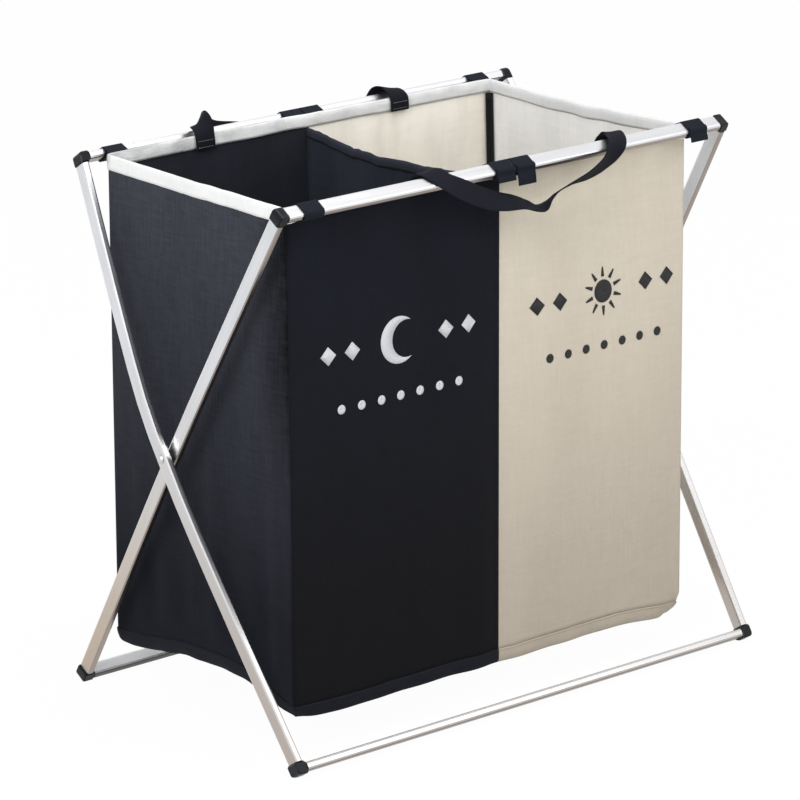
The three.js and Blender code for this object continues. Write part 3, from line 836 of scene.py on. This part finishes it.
def add_base(name, side, finish, slot, sag, replaced):
    """The bottom of one bin: a shallow tray whose margin turns up the walls to its seam."""
    ring = base_ring(side)
    centre = ring.mean(0)
    away = unit(centre[:2] - ring[:, :2])
    along = run_of(ring)
    tuck = np.zeros(len(ring))
    for turn, foot in ((BASE_STEPS, "front_" + side), (2 * BASE_STEPS, "back_" + side)):
        tuck = np.maximum(tuck, BASE_TUCKS[foot] * np.exp(-((along - along[turn]) / TUCK_REACH) ** 2))
    rows = []
    for inset, drop in TRAY_ROWS:
        row = ring.copy()
        inward = inset + ease(drop) * (tuck + MARGIN_WAVE * np.sin(along * 110))
        row[:, :2] += away * inward[:, None]
        row[:, 2] -= BASE_TURN * drop * (1 - TUCK_LIFT * tuck)
        rows.append(row)
    margin = rows[-1]
    for share in BOTTOM_ROWS:
        row = mix(margin, centre[None, :], share)
        row[:, 2] = mix(margin[:, 2], BASE_BOTTOM - sag, ease(share * 1.6))
        rows.append(row)
    points = np.array(rows)
    if side == "left":
        points = points[:, ::-1]  # so that both trays' faces turn the same way
    size = (np.ptp(ring[:, 0]) + 2 * BASE_TURN, np.ptp(ring[:, 1]) + 2 * BASE_TURN)
    tray = surface(name, points, (along[-1], size[1] / 2), CLOTH, closed=True)
    settle(tray, finish, slot, replaced)
    seam = ring[:3 * BASE_STEPS].copy()
    seam[:, :2] -= away[:3 * BASE_STEPS] * BASE_STITCH_OUT
    return seam


def rim_outside(wall, along):
    """How far the tape comes down outside: less at the front, where it hides behind the rail."""
    short = 0.002 if wall == "front" else 0.0
    return RIM_OUTSIDE - short * ease(min(along, 1 - along) / 0.04)


# Outward place and height of the rim tape's section, the height as a share of its outer or inner side
RIM_SECTION = [(0.0014, -1.0), (0.0017, -0.82), (0.0017, -0.27), (0.0014, 0.0), (0.0006, 0.1),
               (-0.0006, 0.1), (-0.0014, 0.0), (-0.0018, -0.3), (-0.0019, -0.8), (-0.0015, -1.0)]
RIM_CRUMPLES = {"front": 0.0006, "right": 0.0006, "back": 0.0013, "left": 0.0006}
RIM_STITCH_OUT = 0.0003


def add_rim():
    """White tape folded over the whole rim, and its row of stitches on each side."""
    per_wall = 110
    columns = [(wall, c / per_wall) for wall in WALLS for c in range(per_wall)]
    points = np.zeros((len(RIM_SECTION), len(columns), 3))
    inner_line, outer_line = [], []
    for c, (wall, along) in enumerate(columns):
        place = wall_place(wall, along, 1.0)
        out = unit(wall_place(wall, along, 1.0, 0.01) - place)
        for r, (outward, share) in enumerate(RIM_SECTION):
            tall = rim_outside(wall, along) if outward > 0 else RIM_INSIDE
            crumple = RIM_CRUMPLES[wall] * min(1.0, abs(share))
            wave = crumple * soft_noise(along * 22, r * 0.5, SEEDS[wall])
            points[r, c] = place + out * (outward + wave * (0.4 if outward > 0 else -0.7))
            points[r, c, 2] += share * tall + 0.4 * wave
        outer_line.append(points[1, c] + out * RIM_STITCH_OUT)
        inner_line.append(points[-2, c] - out * RIM_STITCH_OUT)
    around, tall = run_length(points[0]), run_length(points[:, 0])
    tape = surface("rim_tape", points, (around, tall), RIM_THICK, closed=True)
    settle(tape, TAPE, "rim_band", "rim_band_front", "rim_band_back", "rim_band_left", "rim_band_right")
    sew("rim_stitches", [outer_line, inner_line], WHITE_THREAD)


# How deep in from the corner, and how far aside: the tape lies against both walls
BINDING_SECTION = [(0.006, 0.004), (0.0037, 0.002), (0.0027, 0.0), (0.0037, -0.002), (0.006, -0.004)]
BINDING_THICK = 0.0005
BINDING_FOOT, BINDING_TOP = 0.01, 0.975  # shares of the bag's height
# The panel that each binding is sewn to, by the wall that starts at its seam
BOUND = {"right": "right_side_panel", "back": "back_light_panel", "left": "left_side_panel",
         "front": "front_dark_panel"}


def add_bindings():
    """Black binding over the raw edges of each upright seam, inside the bag."""
    rows = 60
    for wall, panel in BOUND.items():
        name = WALLS[wall][0]
        points = np.zeros((rows + 1, len(BINDING_SECTION), 3))
        for r, height in enumerate(np.linspace(BINDING_FOOT, BINDING_TOP, rows + 1)):
            seam = wall_place(wall, 0.0, height)
            inward = unit(seam - wall_place(wall, 0.0, height, 0.01))
            side = np.array([-inward[1], inward[0], 0])
            sway = abs(0.0006 * soft_noise(height * 9, 0, 50.0))
            for c, (deep, aside) in enumerate(BINDING_SECTION):
                points[r, c] = seam + inward * (deep + sway) + side * aside
        width, height = middle_size(points)
        tape = surface(name + "_binding", points, (width, height), BINDING_THICK)
        settle(tape, BINDING, "seam_tape", "seam_tape_" + name)


# Marks: plain shapes where the fronts carry their print, each patch a grid of x and z
INK = 0.0008  # how far the marks stand in front of the cloth's middle
INK_THICK = 0.0002


def disc(x, z, radius, turns=28, rings=3):
    """Rings of a round patch, from its edge nearly to its middle."""
    return [[(x + reach * math.sin(turn), z + reach * math.cos(turn))
             for turn in np.linspace(0, 2 * math.pi, turns + 1)]
            for reach in np.linspace(radius, 0.02 * radius, rings + 1)]


# Place and radius of the circle that cuts the crescent, for a moon of radius 1
MOON_SHIFT, MOON_BITE = 0.42, 0.8


def moon(x, z, radius, turns=36):
    """Crescent open to the right, between two arcs that meet at its tips."""
    tip = (1 - MOON_BITE ** 2 + MOON_SHIFT ** 2) / (2 * MOON_SHIFT)
    outer_tip, inner_tip = math.acos(tip), math.acos((tip - MOON_SHIFT) / MOON_BITE)
    rows = [[], [], []]
    for c in range(turns + 1):
        first = mix(outer_tip, 2 * math.pi - outer_tip, c / turns)
        second = mix(inner_tip, 2 * math.pi - inner_tip, c / turns)
        outer = np.array([math.cos(first), math.sin(first)])
        inner = np.array([MOON_SHIFT + MOON_BITE * math.cos(second), MOON_BITE * math.sin(second)])
        for row, share in zip(rows, (0.0, 0.5, 1.0)):
            row.append((x, z) + radius * mix(outer, inner, share))
    return rows


def ray(x, z, turn, near, far, width):
    """A bar that tapers outward from a centre."""
    out = np.array([math.sin(turn), math.cos(turn)])
    aside = np.array([math.cos(turn), -math.sin(turn)])
    return [[(x, z) + reach * out + side * wide / 2 * aside for side in (-1, 1)]
            for reach, wide in ((near, width), ((near + far) / 2, width * 0.75), (far, width * 0.35))]


def diamond(x, z, reach):
    return [[(x - reach, z), (x, z + rise), (x + reach, z)] for rise in (-reach, 0, reach)]


def add_print(name, patches, finish):
    places, faces = [], []
    for patch in patches:
        base, wide = len(places), len(patch[0])
        places += [front_place(x, z, INK) for row in patch for x, z in row]
        faces += [[base + r * wide + c for r, c in quad] for quad in quads_of(len(patch) - 1, wide - 1)]
    made = thicken(shaped(name, places, faces), INK_THICK)
    settle(made, finish, None, ahead=INK)


def add_prints():
    """A moon on the dark bin and a sun on the light one, with diamonds beside and dots below."""
    dark_middle, light_middle = -0.137, 0.1435
    high, low = 0.423, 0.364
    size, rays = 0.025, 10
    diamond_pitch, diamond_reach = 0.031, 0.01
    dot_pitch, dot_radius = 0.026, 0.005
    moons = [moon(dark_middle, high, size)]
    suns = [disc(light_middle, high, size * 0.5)]
    for k in range(rays):
        suns.append(ray(light_middle, high, 2 * math.pi * k / rays, size * 0.64, size * 1.06, 0.0042))
    for patches, middle in ((moons, dark_middle), (suns, light_middle)):
        for k in (-3, -2, 2, 3):
            patches.append(diamond(middle + k * diamond_pitch, high, diamond_reach))
        for k in range(-3, 4):
            patches.append(disc(middle + k * dot_pitch, low, dot_radius, turns=16, rings=2))
    add_print("moon_print", moons, SILVER_PRINT)
    add_print("sun_print", suns, BLACK_PRINT)


# Ribbons: webbing and hook tape
def spline(values, count):
    """Points at even steps along the smooth curve through the values."""
    values = np.array(values, float)
    padded = np.vstack([2 * values[0] - values[1], values, 2 * values[-1] - values[-2]])
    out = []
    for k in range(count + 1):
        place = k / count * (len(values) - 1)
        i = min(int(place), len(values) - 2)
        out.append(between(*padded[i:i + 4], place - i))
    return np.array(out)


def ribbon(name, places, sides, width, thickness, count=120, across=8):
    """A strap of webbing along places, whose width runs along sides at each place."""
    line, side = spline(places, count), spline(sides, count)
    way = unit(np.gradient(line, axis=0))
    side = unit(side - (side * way).sum(1)[:, None] * way)
    points = np.zeros((count + 1, across + 1, 3))
    for c in range(across + 1):
        points[:, c] = line + side * (c / across - 0.5) * width
    made = surface(name, points, (width, run_length(line)), thickness)
    round_edges(made, thickness * 0.3, 50)
    return made, points


WEBBING_WIDTH = 0.025
WEBBING_THICK = 0.0014
HANDLE_ROWS = (0.003, 0.01)  # height of the rows of stitches above each end of a handle
HANDLE_STITCH_IN = 0.0011
# Handles: x, y and z of each place, and the way of the webbing's width there
FRONT_HANDLE = [
    (-0.101, -0.1505, 0.564, 1, 0, 0), (-0.101, -0.1505, 0.576, 1, 0, 0),
    (-0.102, -0.1525, 0.5865, 1, 0, 0), (-0.102, -0.159, 0.5935, 1, 0.1, 0.05),
    (-0.1, -0.1665, 0.5945, 1, 0.2, 0.1), (-0.0945, -0.175, 0.5905, 0.95, 0.25, 0.2),
    (-0.085, -0.1845, 0.5825, 0.85, 0.4, 0.4), (-0.0665, -0.189, 0.572, 0.6, 0.4, 0.65),
    (-0.044, -0.1905, 0.5615, 0.35, 0.5, 0.7), (-0.022, -0.1905, 0.555, 0.2, 0.65, 0.55),
    (0, -0.19, 0.5505, 0.1, 0.85, 0.4), (0.018, -0.19, 0.5435, 0.15, 0.9, 0.28),
    (0.03, -0.19, 0.5405, 0.3, 0.9, 0.05), (0.042, -0.1898, 0.546, 0.5, 0.8, -0.22),
    (0.056, -0.1895, 0.5525, 0.55, 0.78, -0.28), (0.079, -0.189, 0.559, 0.5, 0.8, -0.38),
    (0.1, -0.189, 0.5635, 0.45, 0.7, -0.58), (0.118, -0.189, 0.5705, 0.5, 0.55, -0.68),
    (0.131, -0.188, 0.5795, 0.76, 0.25, -0.45), (0.1405, -0.184, 0.5875, 0.93, 0.1, -0.25),
    (0.148, -0.1755, 0.593, 0.98, 0, -0.15), (0.1525, -0.165, 0.5955, 1, 0, -0.1),
    (0.154, -0.156, 0.5925, 1, 0, 0), (0.153, -0.1508, 0.585, 1, 0, 0),
    (0.1515, -0.1505, 0.574, 1, 0, 0), (0.1515, -0.1505, 0.564, 1, 0, 0),
]
BACK_HANDLE = [
    (-0.146, 0.1505, 0.5735, 1, 0, 0), (-0.146, 0.1505, 0.583, 1, 0, 0),
    (-0.1455, 0.154, 0.593, 0.98, 0.02, 0.15), (-0.1425, 0.163, 0.6005, 0.8, 0.05, 0.55),
    (-0.1375, 0.1725, 0.6, 0.56, -0.1, 0.82), (-0.127, 0.186, 0.5915, 0.35, 0.05, 0.93),
    (-0.107, 0.188, 0.5805, 0.12, 0, 0.99), (-0.072, 0.19, 0.573, 0, -0.05, 1),
    (-0.035, 0.1935, 0.5615, 0, -0.1, 1), (0.005, 0.1955, 0.5525, 0, -0.12, 1),
    (0.042, 0.1955, 0.55, 0, -0.15, 1), (0.072, 0.1945, 0.5525, 0.2, -0.25, 0.93),
    (0.093, 0.193, 0.56, 0.6, -0.3, 0.7), (0.1065, 0.1905, 0.571, 0.92, -0.15, 0.33),
    (0.114, 0.1862, 0.583, 1, -0.05, -0.03), (0.1165, 0.1785, 0.5935, 0.97, -0.03, -0.2),
    (0.119, 0.169, 0.5965, 0.96, 0, -0.25), (0.1212, 0.16, 0.5945, 1, 0, -0.12),
    (0.122, 0.153, 0.5895, 1, 0, -0.03), (0.122, 0.1505, 0.583, 1, 0, 0),
    (0.122, 0.1505, 0.5735, 1, 0, 0),
]


def add_handle(name, plan, body, loop, start_y, end_y, *replaced):
    """A webbing handle, with rows of stitches across its sewn ends."""
    plan = np.array(plan)
    made, points = ribbon(name, plan[:, :3], plan[:, 3:], WEBBING_WIDTH, WEBBING_THICK, count=200)
    made.data.materials.append(WEBBING)
    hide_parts(*replaced)
    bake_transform(made)
    inward = -HANDLE_STITCH_IN if plan[0, 1] > 0 else HANDLE_STITCH_IN
    reach = 0.4 * WEBBING_WIDTH
    lines = [[end.mean(0) + np.array([aside * reach, inward, up]) for aside in (-1, 0, 1)]
             for end in (points[0], points[-1]) for up in HANDLE_ROWS]
    sew(name + "_stitches", lines, GREY_THREAD, pitch=0.0028, thick=0.0009)


# Wrap straps. Section of a strap round its rail, and of the start of its loose end: along the rail's
# wide side towards the bag, and out from its upper flat.
WRAP = [(0.0087, 0.003), (0.007, 0.0052), (0.004, 0.0056), (-0.004, 0.0056), (-0.0074, 0.005),
        (-0.0092, 0.0018), (-0.0092, -0.0018), (-0.0074, -0.005), (-0.004, -0.0056), (0.004, -0.0056),
        (0.0078, -0.0052), (0.0098, -0.0022), (0.0104, 0.001)]
LOOSE_START = [(-0.004, 0.007), (-0.008, 0.0066), (-0.0106, 0.002)]
STRAP_THICK, LOOSE_THICK = 0.0013, 0.0011
SEWN_OUT = 0.003  # how far outside the bag's square wall a strap is sewn
SEWN_DROPS = (0.014, 0.007)  # how far below the rim's top
STRAPS = {  # how far each hangs to the right of its place, and the length of its loose end
    "front_strap_left": (-0.004, 0.0), "front_strap_middle_left": (-0.001, 0.007),
    "front_strap_middle_right": (-0.0078, 0.014), "front_strap_right": (0.001, 0.008),
    "back_strap_left": (-0.005, 0.0), "back_strap_middle_left": (-0.005, 0.0),
    "back_strap_middle_right": (-0.005, 0.0), "back_strap_right": (-0.003, 0.0),
}


def around_rail(sign, across, out):
    """y and z of a place by a top rail, across its wide side towards the bag and out from its flat."""
    y = across * math.cos(TILT) - out * math.sin(TILT)
    z = across * math.sin(TILT) + out * math.cos(TILT)
    return sign * (RAIL_Y - y), RAIL_Z + z


def level_tape(name, route, middle, width, thickness, **steps):
    """Hook tape along a route of y and z, its width level."""
    places = [(middle, y, z) for y, z in route]
    made, _ = ribbon(name, places, [(1, 0, 0)] * len(route), width, thickness, **steps)
    made.data.materials.append(HOOK_TAPE)
    return made


def add_strap(name):
    """A strip of hook and loop tape sewn to the rim that wraps the rail and closes on itself."""
    low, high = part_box(name)
    sign = -1 if name.startswith("front") else 1
    shift, loose = STRAPS[name]
    middle, width = (low.x + high.x) / 2 + shift, high.x - low.x
    body = "inner_frame" if sign < 0 else "outer_frame"
    wall = BAG_HALF_DEPTH + SEWN_OUT
    route = [(sign * wall, RIM_TOP - drop) for drop in SEWN_DROPS]
    route += [(sign * (wall + 0.0005), RIM_TOP + 0.0005)]
    route += [around_rail(sign, *place) for place in WRAP]
    made = level_tape(name + "_tape", route, middle, width, STRAP_THICK, count=140, across=10)
    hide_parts(name)
    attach(made, body)
    if loose:
        route = [around_rail(sign, *place) for place in LOOSE_START]
        y, z = route[-1]
        route += [(y + sign * 0.0012, z - 0.5 * loose), (y + sign * 0.0018, z - loose)]
        flap = level_tape(name + "_end", route, middle, width * 0.96, LOOSE_THICK, count=40, across=6)
        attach(flap, body)


# Stage
def reflected(path):
    """Whether a ray comes by way of a reflection or through something clear."""
    return calculate("MAXIMUM", path.outputs["Is Glossy Ray"], path.outputs["Is Transmission Ray"])


FLOOR_REACH, FLOOR_DROP = 14.0, 0.0008
FLOOR_WHITE = 0.975  # share of plain white in what the camera sees of the floor


def add_stage():
    """A pale floor that takes the shadow and shows plain white in reflections."""
    square = ((-1, -1), (1, -1), (1, 1), (-1, 1))
    corners = [(FLOOR_REACH * x, FLOOR_REACH * y, -FLOOR_DROP) for x, y in square]
    floor = shaped("floor", corners, [(0, 1, 2, 3)])
    made = bpy.data.materials.new("pale_floor")
    tree = empty_tree(made)
    path = node(tree, "LightPath")
    seen = reflected(path)
    matt = node(tree, "BsdfDiffuse", {"Color": (0.86, 0.86, 0.86, 1)}).outputs[0]
    white = node(tree, "Emission", {"Color": (1, 1, 1, 1), "Strength": 1.0}).outputs[0]
    shown = node(tree, "MixShader", {0: FLOOR_WHITE, 1: matt, 2: white}).outputs[0]
    plain = node(tree, "MixShader", {0: path.outputs["Is Camera Ray"], 1: matt, 2: shown}).outputs[0]
    both = node(tree, "MixShader", {0: seen, 1: plain, 2: white}).outputs[0]
    node(tree, "OutputMaterial", {"Surface": both})
    floor.data.materials.append(made)


WORLD_LIGHT = 0.62
LAMPS = (  # name, place, target, size, power
    ("key_light", (-2.6, -1.3, 2.4), (0, 0, 0.35), 1.6, 62),
    ("fill_light", (1.4, -2.8, 1.9), (0, 0, 0.3), 2.2, 26),
    ("top_light", (0.1, -0.5, 2.9), (0.1, 0.1, 0.45), 1.2, 24),
)


def add_lights():
    world = bpy.data.worlds.new("studio")
    bpy.context.scene.world = world
    tree = empty_tree(world)
    path = node(tree, "LightPath")
    seen = calculate("MAXIMUM", path.outputs["Is Camera Ray"], reflected(path))
    light = node(tree, "Background", {"Color": (1, 1, 1, 1), "Strength": WORLD_LIGHT})
    white = node(tree, "Background", {"Color": (1, 1, 1, 1), "Strength": 1.0})
    both = node(tree, "MixShader", {0: seen, 1: light.outputs[0], 2: white.outputs[0]})
    node(tree, "OutputWorld", {"Surface": both.outputs[0]})
    for name, place, target, size, power in LAMPS:
        data = bpy.data.lights.new(name, "AREA")
        data.shape = "SQUARE"
        data.size = size
        data.energy = power
        lamp = linked(name, data)
        lamp.location = place
        lamp.rotation_euler = (Vector(target) - Vector(place)).to_track_quat("-Z", "Y").to_euler()


def add_camera():
    az, el, roll = (math.radians(a) for a in (AZIMUTH, ELEVATION, ROLL))
    back = Vector((math.sin(az) * math.cos(el), -math.cos(az) * math.cos(el), math.sin(el)))
    level_right = Vector((0, 0, 1)).cross(back).normalized()
    level_up = back.cross(level_right)
    right = math.cos(roll) * level_right + math.sin(roll) * level_up
    up = math.cos(roll) * level_up - math.sin(roll) * level_right
    data = bpy.data.cameras.new("camera")
    data.sensor_width = SENSOR
    data.lens = SENSOR * FOCAL_PIXELS / PHOTO_SIDE
    data.clip_end = 100
    camera = linked("camera", data)
    place = CAMERA_RIGHT * right + CAMERA_UP * up + CAMERA_DISTANCE * back
    camera.matrix_world = Matrix.Translation(place) @ Matrix((right, up, back)).transposed().to_4x4()
    bpy.context.scene.camera = camera
    bpy.context.scene.view_settings.view_transform = "Standard"


add_camera()
add_stage()
add_lights()
finish_frame()
add_rim()
add_panels()
add_divider()
dark_seam = add_base("dark_bin_base", "left", TRAY_DARK, "dark_cloth", 0.001, "bag_base_dark")
light_seam = add_base("light_bin_base", "right", LIGHT, "light_cloth", 0.003, "bag_base_light")
sew("dark_base_stitches", [dark_seam], DARK_THREAD)
sew("light_base_stitches", [light_seam], TAN_THREAD, pitch=0.0025, filled=0.85, thick=0.0011)
add_bindings()
add_prints()
for strap in STRAPS:
    add_strap(strap)
add_handle("front_handle_webbing", FRONT_HANDLE, "inner_frame", "front_handle_loop", -0.162, -0.186,
           "front_handle", "front_handle_tab_left", "front_handle_tab_right")
add_handle("back_handle_webbing", BACK_HANDLE, "outer_frame", "back_handle_loop", 0.162, 0.188,
           "back_handle", "back_handle_tab_left", "back_handle_tab_right")
